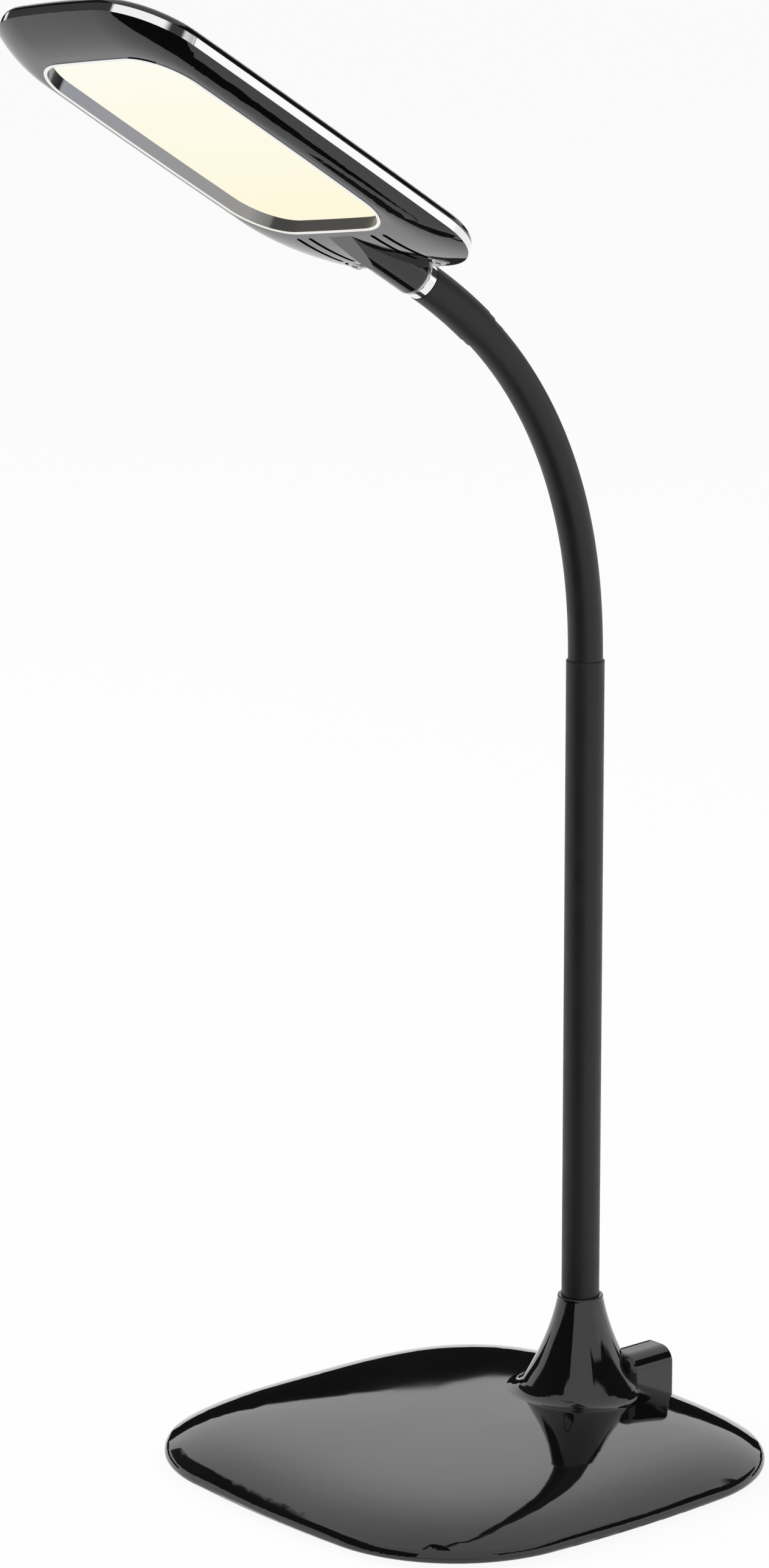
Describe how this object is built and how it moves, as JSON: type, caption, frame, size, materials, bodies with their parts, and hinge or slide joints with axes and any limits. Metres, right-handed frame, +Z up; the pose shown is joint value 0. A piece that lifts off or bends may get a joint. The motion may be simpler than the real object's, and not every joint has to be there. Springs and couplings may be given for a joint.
{
  "type": "gooseneck desk lamp",
  "caption": "Desk lamp: flat tilted light panel on a flexible neck, straight stem, weighted square base with a power inlet at the rear.",
  "frame": {"origin": "middle of the rubber pad's underside, the plane the lamp stands on", "axes": "+Z up along the stem, -Y from the stem towards the light panel, +X to the right of a viewer who looks along +Y at the lamp's front"},
  "size_m": [0.172, 0.2338, 0.4886],
  "materials": {
    "gloss_shell": "high-gloss black moulded plastic",
    "soft_sleeve": "matt black soft-touch sleeve",
    "soft_rubber": "matt black silicone skin with a soft sheen",
    "pad_rubber": "fine-grained dark grey foam rubber",
    "bright_trim": "bright chrome plating",
    "plain_steel": "zinc-plated steel",
    "black_steel": "black painted sheet steel",
    "ballast_iron": "raw cast iron plate",
    "board_green": "green solder-masked circuit board",
    "sensor_film": "amber film with a copper electrode",
    "grey_foam": "grey packing foam",
    "port_insulator": "black glass-filled nylon",
    "brass_pin": "plated contact pin",
    "cable_jacket": "black cable jacket",
    "light_panel": "opal diffuser, evenly lit warm white",
    "guide_acrylic": "clear acrylic light guide with polished edges",
    "strip_white": "white circuit strip",
    "led_yellow": "yellow phosphor LED packages",
    "reflector_white": "matt white reflector sheet",
    "spreader_aluminium": "plain rolled aluminium sheet"
  },
  "bodies": {
    "stand": {"base_shell": "gloss_shell", "bottom_plate": "black_steel", "rubber_pad": "pad_rubber", "base_screws": "plain_steel", "ballast_weight": "ballast_iron", "stem_socket": "plain_steel", "socket_screws": "plain_steel", "board_standoffs": "port_insulator", "control_board": "board_green", "touch_film": "sensor_film", "touch_foam": "grey_foam", "power_inlet": "port_insulator", "inlet_pin": "brass_pin", "port_board": "board_green", "inlet_terminal": "port_insulator", "stem_sleeve": "soft_sleeve", "stem_tube": "plain_steel", "stem_cable": "cable_jacket", "gooseneck_core_00": "plain_steel", "gooseneck_cover_00": "soft_rubber"},
    "link_01": {"gooseneck_core_01": "plain_steel", "gooseneck_cover_01": "soft_rubber"},
    "link_02": {"gooseneck_core_02": "plain_steel", "gooseneck_cover_02": "soft_rubber"},
    "link_03": {"gooseneck_core_03": "plain_steel", "gooseneck_cover_03": "soft_rubber"},
    "link_04": {"gooseneck_core_04": "plain_steel", "gooseneck_cover_04": "soft_rubber"},
    "link_05": {"gooseneck_core_05": "plain_steel", "gooseneck_cover_05": "soft_rubber"},
    "link_06": {"gooseneck_core_06": "plain_steel", "gooseneck_cover_06": "soft_rubber"},
    "link_07": {"gooseneck_core_07": "plain_steel", "gooseneck_cover_07": "soft_rubber"},
    "link_08": {"gooseneck_core_08": "plain_steel", "gooseneck_cover_08": "soft_rubber"},
    "link_09": {"gooseneck_core_09": "plain_steel", "gooseneck_cover_09": "soft_rubber"},
    "arm_end": {"gooseneck_core_10": "plain_steel", "gooseneck_cover_10": "soft_rubber", "neck_cuff": "soft_rubber", "neck_ring": "bright_trim", "neck_spigot": "plain_steel", "spigot_clip": "plain_steel"},
    "head": {"head_bottom_shell": "gloss_shell", "head_top_cover": "gloss_shell", "head_side_band": "bright_trim", "bezel_ring": "bright_trim", "diffuser": "light_panel", "light_guide": "guide_acrylic", "led_strips": "strip_white", "led_chips": "led_yellow", "reflector_sheet": "reflector_white", "heat_spreader": "spreader_aluminium", "head_screws": "plain_steel"}
  },
  "joints": [
    {"name": "neck_bend_01", "type": "hinge", "parent": "stand", "child": "link_01", "pos_m": [0, 0.0508, 0.26693], "axis": [0.9956, -0.0941, 0], "range_deg": [-11, 10]},
    {"name": "neck_side_02", "type": "hinge", "parent": "link_01", "child": "link_02", "pos_m": [-0.00006, 0.0502, 0.27919], "axis": [0.0938, 0.9923, 0.0812], "range_deg": [-15, 15]},
    {"name": "neck_bend_03", "type": "hinge", "parent": "link_02", "child": "link_03", "pos_m": [-0.00019, 0.04882, 0.29138], "axis": [0.9956, -0.0941, 0], "range_deg": [-11, 10]},
    {"name": "neck_bend_04", "type": "hinge", "parent": "link_03", "child": "link_04", "pos_m": [-0.0004, 0.04655, 0.30344], "axis": [0.9956, -0.0941, 0], "range_deg": [-11, 10]},
    {"name": "neck_side_05", "type": "hinge", "parent": "link_04", "child": "link_05", "pos_m": [-0.0007, 0.04336, 0.31528], "axis": [0.0897, 0.9494, 0.3009], "range_deg": [-15, 15]},
    {"name": "neck_bend_06", "type": "hinge", "parent": "link_05", "child": "link_06", "pos_m": [-0.0011, 0.03921, 0.32682], "axis": [0.9956, -0.0941, 0], "range_deg": [-11, 10]},
    {"name": "neck_bend_07", "type": "hinge", "parent": "link_06", "child": "link_07", "pos_m": [-0.00158, 0.03408, 0.33796], "axis": [0.9956, -0.0941, 0], "range_deg": [-11, 10]},
    {"name": "neck_side_08", "type": "hinge", "parent": "link_07", "child": "link_08", "pos_m": [-0.00216, 0.02799, 0.34859], "axis": [0.0793, 0.839, 0.5384], "range_deg": [-15, 15]},
    {"name": "neck_bend_09", "type": "hinge", "parent": "link_08", "child": "link_09", "pos_m": [-0.00282, 0.02094, 0.35862], "axis": [0.9956, -0.0941, 0], "range_deg": [-11, 10]},
    {"name": "neck_bend_10", "type": "hinge", "parent": "link_09", "child": "arm_end", "pos_m": [-0.00357, 0.01299, 0.36793], "axis": [0.9956, -0.0941, 0], "range_deg": [-11, 10]},
    {"name": "head_twist", "type": "hinge", "parent": "arm_end", "child": "head", "pos_m": [-0.00773, -0.03094, 0.40178], "axis": [-0.0781, -0.8257, 0.5586], "range_deg": [-35, 15]}
  ],
  "couplings": [
    {"joint": "neck_bend_06", "follows": "neck_bend_04", "ratio": 1},
    {"joint": "neck_bend_07", "follows": "neck_bend_04", "ratio": 1},
    {"joint": "neck_bend_10", "follows": "neck_bend_09", "ratio": 1},
    {"joint": "neck_side_05", "follows": "neck_side_02", "ratio": 1},
    {"joint": "neck_side_08", "follows": "neck_side_02", "ratio": 1}
  ]
}
